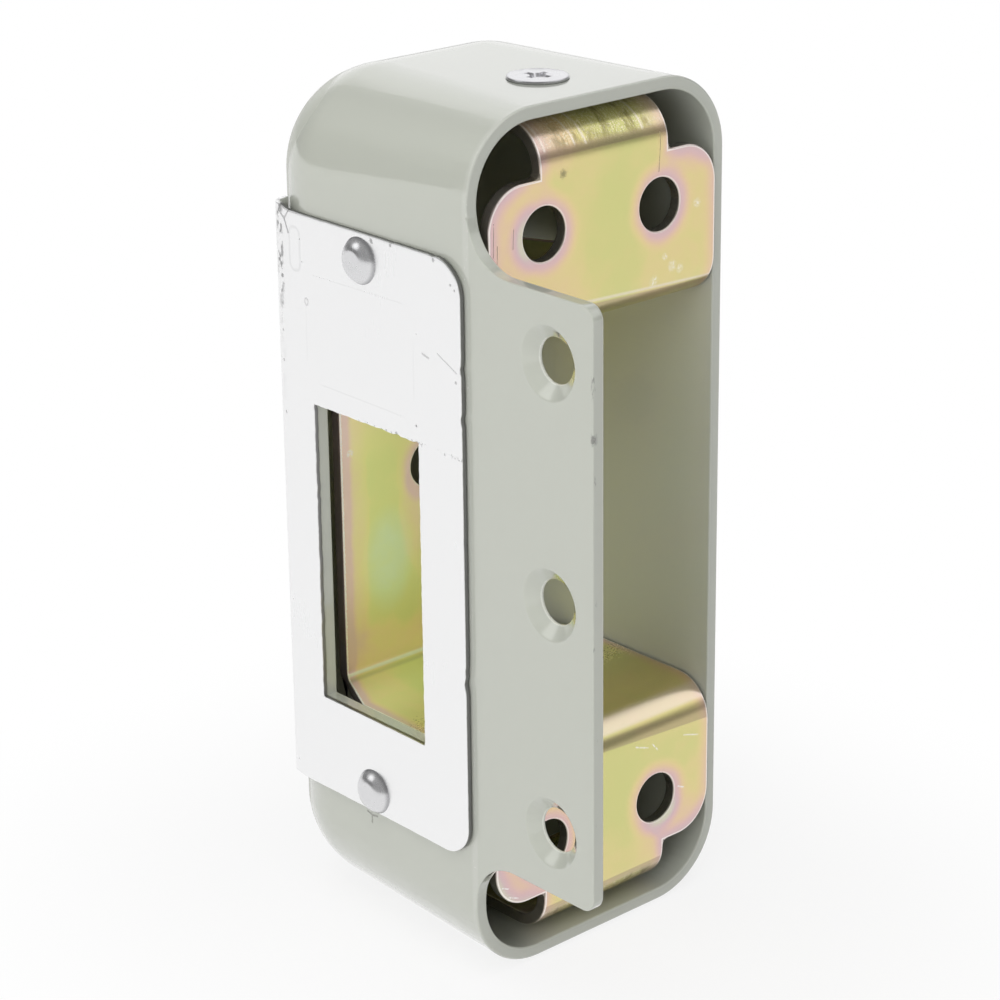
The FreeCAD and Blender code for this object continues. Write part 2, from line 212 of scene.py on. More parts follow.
class Finish:
    """A material, or the world, under construction"""

    def __init__(self, name, store="materials"):
        self.owner = getattr(bpy.data, store).new(name)
        self.owner.use_nodes = True
        self.tree = self.owner.node_tree
        self.tree.nodes.clear()

    def node(self, kind, inputs=None, output=0, **settings):
        """Adds a node: its settings first, then the values or links of its sockets"""
        made = self.tree.nodes.new("ShaderNode" + kind)
        for name, value in settings.items():
            setattr(made, name, value)
        for name, value in (inputs or {}).items():
            if isinstance(value, Wire):
                self.tree.links.new(value.socket, made.inputs[name])
            elif made.inputs[name].type == "RGBA":
                made.inputs[name].default_value = (*value[:3], 1.0)
            else:
                made.inputs[name].default_value = value
        return Wire(self, made.outputs[output])

    def place(self):
        return self.node("TexCoord", output="Object")

    def parts(self, vector):
        return [self.node("SeparateXYZ", {"Vector": vector}, n) for n in range(3)]

    def axes(self, vector, unit=1.0 / MM):
        """The three parts of a place, in millimetres"""
        return [part * unit for part in self.parts(vector)]

    def join(self, x, y, z):
        return self.node("CombineXYZ", {0: x, 1: y, 2: z})

    def ray(self, kind):
        """1 for a ray of one kind, such as Camera, and 0 for the others"""
        return self.node("LightPath", output=f"Is {kind} Ray")

    def mix(self, factor, a, b, blend="MIX"):
        return self.node("Mix", {0: factor, 6: a, 7: b}, 2, data_type="RGBA", blend_type=blend)

    def layers(self, tone, *coats, blend="MIX"):
        """Lays coats over a tone, each with its mask and its colour"""
        for mask, shade in coats:
            tone = self.mix(mask, tone, shade, blend)
        return tone

    def noise(self, vector, size, detail=2.0, rough=0.5):
        """Noise with about one wave per size"""
        return self.node("TexNoise", {"Vector": vector, "Scale": 1.0 / size, "Detail": detail, "Roughness": rough})

    def stretched(self, vector, scale):
        return self.node("Mapping", {"Vector": vector, "Scale": scale})

    def bump(self, height):
        """A normal from a height in millimetres"""
        return self.node("Bump", {"Height": height, "Distance": MM})

    def done(self, **inputs):
        """Ends the material in a Principled shader"""
        shader = self.node("BsdfPrincipled", {k.replace("_", " "): v for k, v in inputs.items()})
        self.output(shader)
        return self.owner

    def output(self, shader, kind="Material"):
        out = self.tree.nodes.new("ShaderNodeOutput" + kind)
        self.tree.links.new(shader.socket, out.inputs["Surface"])


def distance(a, b, at):
    """Distance of a place (a, b) from a point, in the same unit"""
    return ((a - at[0]) ** 2.0 + (b - at[1]) ** 2.0) ** 0.5


def stroke(a, b, start, end):
    """Distance of a place (a, b) from a straight stroke"""
    du, dv = end[0] - start[0], end[1] - start[1]
    square = du * du + dv * dv
    along = (((a - start[0]) * du + (b - start[1]) * dv) / square).clamped()
    return ((a - start[0] - along * du) ** 2.0 + (b - start[1] - along * dv) ** 2.0) ** 0.5


def inside_box(a, b, centre, half, radius):
    """How far a place lies inside a rounded rectangle, negative outside it"""
    qa = abs(a - centre[0]) - (half[0] - radius)
    qb = abs(b - centre[1]) - (half[1] - radius)
    out = (qa.most(0.0) ** 2.0 + qb.most(0.0) ** 2.0) ** 0.5
    return radius - out - qa.most(qb).least(0.0)


# Modelling

def held(value):
    """A number held between 0 and 1"""
    return min(1.0, max(0.0, value))


def pick_none():
    bpy.ops.object.select_all(action="DESELECT")


def only(piece):
    pick_none()
    piece.select_set(True)
    bpy.context.view_layer.objects.active = piece


def edit(piece):
    only(piece)
    bpy.ops.object.mode_set(mode="EDIT")


def leave():
    bpy.ops.object.mode_set(mode="OBJECT")


def pick(piece, kind, test):
    """Selects the vertices, edges or faces of the piece in edit mode that pass a test"""
    bpy.ops.mesh.select_mode(type=kind)
    bpy.ops.mesh.select_all(action="DESELECT")
    mesh = bmesh.from_edit_mesh(piece.data)
    for element in {"VERT": mesh.verts, "EDGE": mesh.edges, "FACE": mesh.faces}[kind]:
        if test(element):
            element.select_set(True)
    mesh.select_flush_mode()
    bmesh.update_edit_mesh(piece.data)


def pick_all():
    bpy.ops.mesh.select_all(action="SELECT")


def weld():
    """Merges the doubled vertices of the piece in edit mode"""
    pick_all()
    bpy.ops.mesh.remove_doubles(threshold=0.001 * MM)


def face_out():
    """Turns the faces of the piece in edit mode outwards"""
    pick_all()
    bpy.ops.mesh.normals_make_consistent(inside=False)


def settle(piece):
    """Puts a piece's place, turn and size into its mesh"""
    only(piece)
    bpy.ops.object.transform_apply(location=True, rotation=True, scale=True)


def apply(piece, kind, **settings):
    """Adds a modifier and applies it"""
    only(piece)
    modifier = piece.modifiers.new(kind.title(), kind)
    for name, value in settings.items():
        setattr(modifier, name, value)
    bpy.ops.object.modifier_apply(modifier=modifier.name)


def round_edges(piece, width, segments, degrees, **more):
    """Bevels the edges that are sharper than an angle"""
    angle = math.radians(degrees)
    apply(piece, "BEVEL", width=width, segments=segments, limit_method="ANGLE", angle_limit=angle, **more)


def smooth(piece, degrees):
    only(piece)
    bpy.ops.object.shade_smooth_by_angle(angle=math.radians(degrees))


def flatten(piece):
    """Lets the normals follow the large faces, so that narrow roundings don't bend their shading"""
    apply(piece, "WEIGHTED_NORMAL", keep_sharp=True, weight=60)


# Where the merged faces are parted again, in mm along X, Y and Z, so that none is large or has a hole in it
COVER_CUTS = (
    (-14.0, -8.0, -0.7, 7.0, 14.0),
    (-17.1, -12.4, -7.7, -2.5, 3.2, 6.2, 12.0, 18.35, 23.5, 30.5, 35.0),
    (-46.0, -41.0, -32.5, -27.8, -23.1, -17.0, -10.0, -4.5, 0.2, 4.9, 10.5, 17.0, 23.5, 28.2, 32.9, 41.5, 46.0))
BRACKET_CUTS = (
    (-15.5, -9.0, -4.6, 0.4, 4.8, 9.0, 12.9, 16.2),
    (7.0, 12.0, 19.0, 25.0),
    (-47.0, -42.3, -37.8, -32.5, -18.0, -12.0, -6.0, 0.0, 6.0, 12.0, 18.0, 32.5, 37.8, 42.3, 47.0))


def merged_copy(node, name, cuts):
    """A copy of a CAD node with its loose triangles merged into whole faces, parted again at the cuts"""
    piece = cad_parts[node].copy()
    piece.data = piece.data.copy()
    piece.name = piece.data.name = name
    piece.parent = None
    for key in list(piece.keys()):
        del piece[key]
    bpy.context.scene.collection.objects.link(piece)
    piece.matrix_world = Matrix.Identity(4)
    edit(piece)
    bpy.ops.mesh.customdata_custom_splitnormals_clear()
    pick_all()
    bpy.ops.mesh.remove_doubles(threshold=0.002 * MM)
    bpy.ops.mesh.dissolve_limited(angle_limit=math.radians(0.2))
    for axis, places in enumerate(cuts):
        along = Vector([float(n == axis) for n in range(3)])
        for place in places:
            pick_all()
            bpy.ops.mesh.bisect(plane_co=along * place * MM, plane_no=along)
    leave()
    piece.data.materials.clear()
    return piece


def lathe(name, rings, segments):
    """A turned piece along Z, drawn out ring by ring as (radius, height) in mm"""
    rings = [(radius * MM, height * MM) for radius, height in rings]
    r, h = rings[0]
    pick_none()
    bpy.ops.mesh.primitive_circle_add(vertices=segments, radius=r, fill_type="NGON", location=(0, 0, h))
    piece = bpy.context.object
    piece.name = piece.data.name = name
    settle(piece)
    edit(piece)
    pick_all()
    for radius, height in rings[1:]:
        bpy.ops.mesh.extrude_region_move(TRANSFORM_OT_translate={"value": (0, 0, height - h)})
        k = radius / r
        bpy.ops.transform.resize(value=(k, k, 1), center_override=(0, 0, height))
        r, h = radius, height
    face_out()
    leave()
    return piece


def dress(piece, material, slot, *nodes):
    """Gives a finished piece its material and hands it to the frame"""
    piece.data.materials.clear()
    piece.data.materials.append(material)
    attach(piece, "root")
    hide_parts(*nodes)


# Finishes

def paint_finish(look):
    f = Finish("cover_paint")
    spot = f.place()
    x, y, z = f.axes(spot)
    peel = f.noise(spot, look.peel_size, 2.0, 0.45)
    broad = f.noise(spot, 14 * MM)
    grit = f.noise(spot, 0.28 * MM, 3.0, 0.6)
    height = peel * (look.orange_peel / MM) + broad * 0.01
    # Paint runs thin and chips along the rim's and the flange's sharp edges
    rim = inside_box(x, z, (0.0, 0.0), RIM_HALF, RIM_CORNER)
    front = (y - 1.1).fall(-0.2, 0.4) * (y - 0.3).rise(-0.2, 0.1)
    near_edge = abs(rim).fall(0.0, 0.5) * front
    flecks = grit.rise(0.62, 0.74) * near_edge
    end = abs(y + 19.4).fall(0.0, 0.5) * (x + 19.5).fall(-0.3, 0.3)
    long_grit = f.noise(f.stretched(spot, (1, 1, 0.25)), 0.7 * MM, 3.0, 0.6)
    scuffs = long_grit.rise(0.66, 0.72) * end
    chip = (((y + 19.3) ** 2.0 + ((z - 21.2) / 2.4) ** 2.0) ** 0.5 + (grit - 0.5) * 0.5).fall(0.1, 0.34)
    # Bare lines follow the flange's inner corner and the mouths of its holes
    mouth = reduce(Wire.least, (distance(y, z, (FLANGE_HOLE_Y, at)) for at in FLANGE_HOLES_Z))
    bare = abs(mouth - 2.69 + (grit - 0.5) * 0.1).fall(0.0, 0.1) * (x + 18.3).fall(-0.3, 0.1) * 0.7
    bare = bare.most(distance(x, y, (-18.43, -19.33)).fall(0.07, 0.2))
    scuffs = scuffs.most(chip * (x + 19.5).fall(-0.3, 0.3))
    # A burr of paint hangs under the lower rivet
    tips = ((20.42, -37.01), (18.63, -37.08), (19.62, -38.18))
    burr = reduce(Wire.least, (stroke(y, z, (19.59, -37.22), tip) for tip in tips)) + (grit - 0.5) * 0.2
    burr = burr.fall(0.02, 0.22) * (x + 19.9).fall(0.0, 0.1)
    tone = f.mix((broad - 0.5) * 0.6 + 0.5, [c * 0.99 for c in look.paint], [c * 1.01 for c in look.paint])
    tone = f.layers(
        tone, (near_edge * 0.25, look.thin_paint), (flecks * 0.8, (0.8, 0.8, 0.76)),
        (bare * 0.75, (0.88, 0.88, 0.82)), (scuffs * 0.8, (0.13, 0.13, 0.12)), (burr * 0.7, (0.16, 0.16, 0.13)))
    # The coat is duller inside the box
    inside = rim.rise(1.2, 1.5) * (y - 39.2).fall(-0.3, 0.3)
    rough = broad * 0.05 + 0.17 + scuffs * 0.2 + inside * 0.25
    return f.done(
        Base_Color=tone, Roughness=rough, Coat_Weight=1.0 - inside * 0.65, Coat_Roughness=0.04, Coat_IOR=1.6,
        Normal=f.bump(height + flecks * 0.02 - scuffs * 0.03 + burr * 0.05))


def film_tone(f, film, look):
    """The passivation's colour by its thickness, from green to pale"""
    stops = [
        (0.0, look.green), (0.22, look.green), (0.4, look.yellow), (0.58, look.orange),
        (0.74, look.pink), (0.88, look.violet), (1.0, look.pale)]
    tone = f.node("ValToRGB", {"Fac": film})
    ramp = tone.socket.node.color_ramp
    ramp.interpolation = "B_SPLINE"
    while len(ramp.elements) < len(stops):
        ramp.elements.new(0.5)
    for element, (place, shade) in zip(ramp.elements, stops):
        element.position = place
        element.color = (*shade, 1.0)
    return tone


FILM_SPOTS = [
    # across, along the blank, reach across, reach along, change of film
    (-15.5, 67, 4.5, 9.5, 0.26), (1.5, 62.5, 5, 9.5, -0.17), (4.5, 71, 5, 5, -0.1),
    (15, 60.5, 4.5, 5, 0.02), (-4, 59.5, 6, 3, 0.1), (14.5, 73, 4, 3, 0.24),
    (12, 52, 9, 3, 0.12), (-7, 77.5, 3.5, 4, 0.22), (3, 78.5, 5.5, 4, -0.2),
    (-15.5, -71.5, 6, 5.5, 0.3), (3, -63, 4.5, 7.5, -0.18), (12.5, -61, 5, 3, -0.1),
    (12, -72, 6, 4, 0.22), (-6.3, -12, 4.2, 9.5, -0.26), (-7.8, 1, 3.6, 7, -0.14),
    (-11.6, -7, 2, 17, 0.2), (-2.6, -6.5, 2, 5.5, 0.22), (-3.2, -17, 2.4, 4, -0.16),
    (-8.2, -22, 9, 3.4, 0.18), (-10, -30, 5, 5, 0.06), (-5, -34, 4.5, 8, -0.34),
]

# Marks on the bracket, across and along its blank: the two ends of each line, or the middle and size of each fleck
TAB_SCORES = [
    ((-13.7, 66), (-13.6, 68.2), 0.1), ((-16.6, 65.6), (-16.5, 69.4), 0.09), ((-16.1, 63.4), (-16, 66.8), 0.09)]
LIP_RUBS = [
    ((-8.5, 75.9), (-8.8, 80.6)), ((-3.9, 76), (-4.9, 80.8)), ((-2.3, 75.8), (-2.8, 80)),
    ((6.6, 76), (6, 81))]
TAB_FLECKS = [
    ((15.1, 65.9), 0.8), ((8.3, 57.9), 0.9), ((11.1, 59.1), 0.9), ((12.4, 58.6), 0.7), ((9.9, 60.4), 0.6),
    ((-12.2, 4.3), 0.7)]
TAB_SCRATCHES = [
    ((5.6, -58.9), (7.6, -59.6)), ((8.4, -59.4), (9.3, -60.4)), ((13.9, -59.9), (16.2, -60.6)),
    ((-15.4, -71.6), (-13.9, -72.2)), ((-16.4, -70), (-15.5, -70.4)), ((12.9, -66.6), (13.8, -67))]


def zinc_finish(look):
    f = Finish("yellow_zinc")
    spot = f.place()
    u, v, _ = f.axes(f.node("UVMap", uv_map="blank"), UV_UNIT)
    drift = f.noise(spot, 15 * MM, 3.0, 0.55)
    cloud = f.noise(spot, 2.6 * MM, 4.0, 0.62)
    grain = f.noise(spot, 0.22 * MM, 3.0, 0.65)
    blotch, fuzz = cloud - 0.5, grain - 0.5
    # How far a place lies inside the flat blank, and from its holes
    up = abs(v)
    y = f.axes(spot)[1]
    taper = ((WEB_Y - y) / 7.5).clamped()
    side = taper * (STRIP_HALF - WEB_HALF) + WEB_HALF - abs(u - STRIP_X)
    tab = inside_box(u, up, (STRIP_X, 0.0), (STRIP_HALF, 73.18), 5.0).least(side)
    rim = tab.most(inside_box(u, up, (STRIP_X, 60.0), (10.0, 32.7), 2.5))
    hole = (distance(abs(u), up, (9.0, 66.83)) - 3.15).least(distance(u, v, (STRIP_X, 0.0)) - 3.0)
    deep = y.rise(8.0, 26.0)
    film = 0.37 + (drift - 0.5) * 0.42 + blotch * 0.26 + fuzz * 0.06
    film = film + (rim + blotch * 0.8).fall(0.5, 2.0) * deep * 0.26
    for at_u, at_v, reach_u, reach_v, change in FILM_SPOTS:
        far = ((u - at_u) / reach_u) ** 2.0 + ((v - at_v) / reach_v) ** 2.0
        film = film + far.fall(0.0, 1.7) * change
    film = film + (rim + blotch * 1.6).fall(0.0, 2.4) * 0.28
    film = film + (hole + blotch * 1.1).fall(0.1, 2.7) * 0.44
    film = film - (film - 0.78).most(0.0) * deep
    tone = film_tone(f, film.clamped(), look)
    tone = f.mix(hole.fall(0.0, 0.28) * 0.5, tone, look.pale)
    # Rubbed streaks across the lips' bends, where the blank was drawn over the die, laid on pale, partly as rubbed
    # metal and partly as painted highlight, with painted glints and dark blotches; the far part of each lip, tucked
    # under the cover, is darkened as painted shade
    lanes = f.noise(f.join(u * 4.2, v * 0.35, 0.0), 1.0, 4.0, 0.7)
    bend = abs(up - 78.6).fall(2.2, 3.4)
    streak = lanes.rise(0.56, 0.66) * bend
    sparkle = grain.rise(0.53, 0.62) * bend
    dull = (lanes.fall(0.34, 0.46) * 0.8).most(grain.fall(0.36, 0.46) * 0.5) * bend
    wide = f.noise(f.join(u * 0.55 + v * 0.1, v * 0.22, 3.0), 1.0, 3.0, 0.6)
    tone = f.layers(
        tone, ((streak * 0.85).most(sparkle * 0.75), (1.0, 0.93, 0.7)), (dull * 0.6, (0.33, 0.29, 0.1)),
        (wide.rise(0.5, 0.64) * bend * 0.62, (0.24, 0.2, 0.06)),
        (bend * abs(u - 0.8).rise(5.5, 9.5) * 0.55, (0.84, 0.66, 0.58)),
        # Painted shade on the far part of each lip, under the cover's wall
        ((up - 79.2).rise(0.0, 2.4) * 0.55, (0.28, 0.29, 0.09)))
    # Painted reflection bands along the bends: a dark line where each lip's bend begins, dark and light bands across
    # the bends between the shelves and the tabs, and a painted highlight line over a dark band along the web's bend
    # into the lower shelf
    lip_bend_shade = (up - 75.06).rise(-0.1, 0.1) * (up - 75.9).fall(-0.25, 0.35)
    foot_line = -57.98 - (u - 0.3) * 0.045
    foot = (foot_line - v).fall(-0.06, 0.12) * (v + 56.78 + (u - 0.3) * 0.041).fall(-0.25, 0.35)
    slant = (u + 1.5) * 0.044
    inner = abs(v - 57.64 + slant).fall(0.05, 0.3)
    under = (v - 57.3 + slant).fall(-0.2, 0.1) * (v - 55.4).rise(-0.6, 0.6)
    crease = v + 25.2
    bend_highlight = (v + 56.5).rise(-0.25, 0.25) * (v + 54.4).fall(-0.6, 0.4)
    # Painted reflection: dark bands and painted highlights laid along the bends
    tone = f.layers(
        tone, (lip_bend_shade * 0.5, (0.34, 0.23, 0.19)), (foot * 0.5, (0.34, 0.25, 0.19)), (under * 0.5, (0.36, 0.23, 0.2)),
        (inner * 0.6, (0.86, 0.78, 0.66)), (abs(crease + 1.3).fall(0.2, 1.1) * 0.45, (0.3, 0.33, 0.16)),
        (abs(crease).fall(0.15, 0.6) * 0.75, (0.74, 0.8, 0.62)), (bend_highlight * 0.55, (0.9, 0.76, 0.7)))
    # Sheared edges and walls of the holes are grey, with a painted highlight line along their rounding, and deeper
    # inside the box they are darkened to near black as painted shade
    sheared = rim.fall(0.02, 0.14).most(hole.fall(0.02, 0.12))
    # Painted highlight along the rounding of the edges and the mouths of the holes
    bright = abs(rim - 0.2 + fuzz * deep * 0.4).fall(0.04, 0.17)
    bright = bright.most(abs(hole - 0.17).fall(0.03, 0.12) * 0.5)
    # Painted shade: deeper inside the box the cut edges and hole walls turn near black
    wall = f.mix(deep, look.cut, (0.08, 0.075, 0.07))
    # Marks on the tabs: a dent, a die line, broken scores, soft white flecks and scratches
    dent = (distance(u, v, (-6.1, 73.2)) + fuzz * 1.6).fall(0.1, 0.62)
    line = stroke(u, v, (9.1, 75.1), (8.85, 70.8)).fall(0.03, 0.14)
    score = reduce(Wire.most, (stroke(u, v, start, end).fall(0.02, half) for start, end, half in TAB_SCORES))
    broken = (grain * 0.6 + lanes * 0.6).rise(0.5, 0.64)
    rubbed = reduce(Wire.least, (stroke(u, v, *ends) for ends in LIP_RUBS))
    rubbed = (rubbed + fuzz * 0.5).fall(0.0, 0.32) * (0.25 + broken * 0.5)
    dark = (dent * (0.5 + grain)).most(line * 0.8 * broken).most(score * broken * 0.8).clamped()
    flecks = grain.rise(0.6, 0.7) * f.noise(spot, 2.4 * MM, 2.0, 0.7).rise(0.62, 0.72) * (up - 53.0).rise(0.0, 3.0)
    soft = reduce(Wire.most, (distance(u, v, at).fall(size * 0.2, size) for at, size in TAB_FLECKS))
    blue = (((u + 6.6) / 3.4) ** 2.0 + ((v + 11.0) / 6.0) ** 2.0).fall(0.0, 1.7) * (0.4 + cloud)
    scratches = reduce(Wire.most, ((stroke(u, v, *ends) + fuzz * 0.4).fall(0.0, 0.16) for ends in TAB_SCRATCHES))
    tone = f.layers(
        tone, (bright * 0.75, (0.97, 0.92, 0.87)), (sheared * 0.85, wall), (rubbed, (0.98, 0.9, 0.8)),
        (dark * 0.7, (0.22, 0.2, 0.12)), (flecks * 0.45, (0.9, 0.88, 0.84)),
        (soft * grain.rise(0.42, 0.6) * 0.7, (0.93, 0.91, 0.87)), (blue.clamped() * 0.4, (0.58, 0.8, 0.68)),
        (scratches * broken * 0.9, (0.93, 0.92, 0.9)))
    height = grain * (look.grain / MM) + cloud * 0.003 - dark * 0.03 - lanes * bend * 0.014 + scratches * 0.01
    height = height + sparkle * 0.006
    rough = 0.24 + fuzz * 0.12 + blotch * 0.08 + dark * 0.15
    # Painted light inside the box: the deep parts are brightened above the film's own colour, and the web's foot by the
    # lower shelf is darkened as painted shade; the web's upper half is made lighter and the lower shelf darker and
    # greener
    web_foot_shade = (v + 12.0).fall(-9.0, 0.0) * (v + 25.6).rise(-0.4, 0.4)
    web_head = v.rise(1.0, 8.0) * (v - 24.0).fall(0.0, 1.0)
    shelf = (v + 26.0).fall(-1.5, 0.0) * (v + 48.0).rise(-5.0, 5.0)
    tone = f.layers(
        tone, (deep * (1.0 - sheared), (1.38, 1.5, 1.3)), (web_foot_shade, (0.86, 0.81, 0.78)),
        (web_head, (1.12, 1.08, 1.15)), (shelf, (0.86, 0.92, 1.0)), blend="MULTIPLY")
    return f.done(Base_Color=tone, Metallic=0.85 - deep * 0.62, Roughness=rough + deep * 0.1, Normal=f.bump(height))


PLATE_MARKS = [
    # start and end on the plate, half width, strength
    ((31.33, 33.91), (31.99, 35.46), 0.15, 0.7), ((31.99, 35.46), (32.89, 36.24), 0.17, 0.6),
    ((31.99, 35.46), (30.98, 36.86), 0.13, 0.6), ((18.9, -35.2), (17.8, -36.15), 0.14, 0.8),
    ((4.92, 25.39), (1.57, 23.85), 0.09, 0.32), ((7.57, 24.76), (6.43, 24.48), 0.16, 0.42),
    ((27.18, 29.6), (10.99, 29.8), 0.13, 0.07), ((26.12, 16.49), (11.11, 16.34), 0.13, 0.07),
    ((9.15, 25.96), (9.19, 18.98), 0.16, 0.05), ((28.45, 25.55), (28.5, 18.97), 0.13, 0.05),
]
PLATE_SPECKS = [
    # place on the plate, radius, strength
    ((8.84, 15.81), 0.24, 0.8), ((16.15, 36.05), 0.4, 0.7), ((5.31, 36.05), 0.4, 0.7), ((12.8, 36.2), 0.3, 0.6),
    ((2.4, 33.8), 0.28, 0.7), ((1.75, 33.3), 0.24, 0.6), ((1.72, 22.72), 0.22, 0.6), ((8.56, 26.77), 0.2, 0.3),
    ((12.4, 13.95), 0.38, 0.8), ((8.8, 13.9), 0.32, 0.8), ((32.82, 29.9), 0.4, 0.9), ((32.7, 28.4), 0.34, 0.9),
    ((32.4, 27.5), 0.3, 0.6), ((32.9, 26.6), 0.36, 0.8), ((32.9, 25), 0.28, 0.8), ((32.9, 21.7), 0.26, 0.6),
    ((32.95, 18), 0.26, 0.6), ((32.85, 11.4), 0.3, 0.8), ((32.9, -12.7), 0.2, 0.4),
    ((32.9, -34.1), 0.24, 0.4), ((29.2, 33.5), 0.22, 0.5), ((28.9, 30.8), 0.26, 0.6),
]


def sheet_finish(look):
    f = Finish("bright_plate")
    spot = f.place()
    x, y, z = f.axes(spot)
    fine = f.noise(f.stretched(spot, (1, 1, 0.06)), 0.22 * MM, 2.0, 0.6)
    smear = f.noise(spot, 9 * MM, 3.0, 0.6)
    grit = f.noise(spot, 0.5 * MM, 3.0, 0.65)
    bare = grit - 0.5
    # The sheared edges are rough and grey, darkened partly as their own grey and partly as painted shade of the crevice
    # beside the cover; the folded edge keeps the sheet's face
    depth = x + 20.6 + (((RIVET_Y - y) / 17.5).most(0.0) ** 2.0) * (look.bow / MM)
    cut = depth.rise(0.05, 0.16) * (y - 32.9).fall(-0.1, 0.1)
    fold = abs(y - 32.9 + bare * 0.8).fall(0.2, 0.7) * (x + 20.6).fall(0.4, 1.2)
    patch = f.noise(f.stretched(spot, (1, 1, 0.5)), 0.9 * MM, 4.0, 0.65)
    worn = fold * patch.rise(0.5, 0.58) * ((z - 27.0).rise(-6.0, 4.0) * 0.9 + (z - 14.0).rise(-10.0, 10.0) * 0.1)
    marks = reduce(Wire.most, (
        (stroke(y, z, start, end) + bare * half * 1.2).fall(half * 0.25, half) * strength
        for start, end, half, strength in PLATE_MARKS))
    specks = reduce(Wire.most, (
        (distance(y, z, at) + bare * size * 2.6).fall(size * 0.3, size * 0.8) * strength
        for at, size, strength in PLATE_SPECKS))
    ring = abs(((y - 28.32) ** 2.0 + ((z - 26.14) / 1.3) ** 2.0) ** 0.5 - 0.3).fall(0.04, 0.16)
    loop = abs(inside_box(y, z, (30.2, 32.2), (0.95, 2.6), 0.9) + bare * 0.2).fall(0.04, 0.3)
    torn = abs(z - 13.8).fall(0.05, 0.36) * (y - 20.0).fall(-5.0, 4.0) * grit.rise(0.56, 0.64)
    dark = reduce(Wire.most, (worn, marks, specks, ring * 0.35, torn * 0.6)).clamped()
    tone = f.mix((smear - 0.5) * 0.8 + 0.5, [c * 0.985 for c in look.metal], look.metal)
    tone = f.layers(tone, (loop * 0.16, (0.5, 0.5, 0.51)), (dark * 0.85, look.worn), (cut, look.cut))
    height = fine * 0.0004 + smear * 0.016 - marks * 0.03 - loop * 0.02 - dark * 0.02
    rough = 0.25 + (smear - 0.5) * 0.08 + (fine - 0.5) * 0.06 + dark * 0.2 + cut * 0.2
    return f.done(Base_Color=tone, Metallic=0.9, Roughness=rough, Normal=f.bump(height))


def steel_finish(name, tone, rough, centre, axis, edge):
    """Bright steel with turning marks round an axis, a few dull spots and a painted shade line round the head's edge"""
    f = Finish(name)
    spot = f.place()
    parts = f.axes(spot)
    a, b = [p for n, p in enumerate(parts) if n != axis]
    rings = distance(a, b, centre)
    turned = f.noise(f.join(rings * 9.0, parts[axis] * 2.0, 0.0), 1.0)
    smear = f.noise(spot, 1.6 * MM, 3.0, 0.6)
    grit = f.noise(spot, 0.12 * MM, 2.0, 0.6)
    spots = smear.rise(0.64, 0.74) * grit.rise(0.5, 0.62)
    shade = f.mix((turned - 0.5) * 0.7 + 0.5, [c * 0.93 for c in tone], [min(1.0, c * 1.05) for c in tone])
    # The dark ring at the head's edge is painted shade where the head meets the plate or the countersink
    shade = f.layers(
        shade, (spots * 0.5, (0.4, 0.4, 0.4)), (rings.rise(edge - 0.3, edge) * 0.6, (0.26, 0.26, 0.27)))
    height = turned * 0.001 + grit * 0.0008 + smear * 0.02
    return f.done(
        Base_Color=shade, Metallic=0.95, Roughness=rough + (smear - 0.5) * 0.14 + spots * 0.2, Normal=f.bump(height))


# Operators

class STRIKE_OT_cover(bpy.types.Operator):
    """Dress the pressed cover: rounded painted edges and grey-green paint"""
    bl_idname = "strike.cover"
    bl_label = "Cover"

    def execute(self, context):
        look = context.scene.strike_cover
        piece = merged_copy("cover", "painted_cover", COVER_CUTS)
        widest = max(look.rim_edge, look.outer_edge, look.flange_edge, look.sink_edge)
        edit(piece)
        bpy.ops.mesh.select_mode(type="EDGE")
        bpy.ops.mesh.select_all(action="DESELECT")
        bpy.ops.mesh.edges_select_sharp(sharpness=math.radians(32))
        mesh = bmesh.from_edit_mesh(piece.data)
        weight = mesh.edges.layers.float.new("bevel_weight_edge")
        for e in mesh.edges:
            if e.select:
                e[weight] = self.rounding((e.verts[0].co + e.verts[1].co) / 2 / MM, look) / widest
        bmesh.update_edit_mesh(piece.data)
        leave()
        apply(piece, "BEVEL", width=widest, segments=4, limit_method="WEIGHT", use_clamp_overlap=False,
              loop_slide=False, miter_outer="MITER_ARC")
        smooth(piece, 40)
        flatten(piece)
        dress(piece, paint_finish(look), "cover_paint", "cover")
        return {"FINISHED"}

    def rounding(self, at, look):
        """The paint's rounding on one sharp edge, by its place in mm"""
        on_face = at.x < -18.35
        outside = at.x < -19.2
        # The screws' seats, then the window, the rivets' holes and the flange's holes
        if abs(at.z) > 50.8 and at.y > 5.0:
            return 0.1 * MM
        if on_face and at.y > 8.0 and abs(at.z - sum(WINDOW_Z) / 2) < 19.6:
            return 0.12 * MM
        if on_face and at.y > 2.0:
            return 0.05 * MM
        if on_face and any(math.hypot(at.y - FLANGE_HOLE_Y, at.z - h) < 4.6 for h in FLANGE_HOLES_Z):
            return look.sink_edge if outside else 0.1 * MM
        # The flange's edges, and then the rim, inside and out
        if at.y < 0.3:
            return look.flange_edge if outside else look.flange_edge * 1.2
        corner = Vector((abs(at.x) - RIM_HALF[0] + RIM_CORNER, abs(at.z) - RIM_HALF[1] + RIM_CORNER))
        if corner.x > 0 and corner.y > 0:
            inner = corner.length < 9.0
        else:
            inner = abs(at.x) < 19.2 and abs(at.z) < 51.7
        return look.rim_edge if inner else look.outer_edge


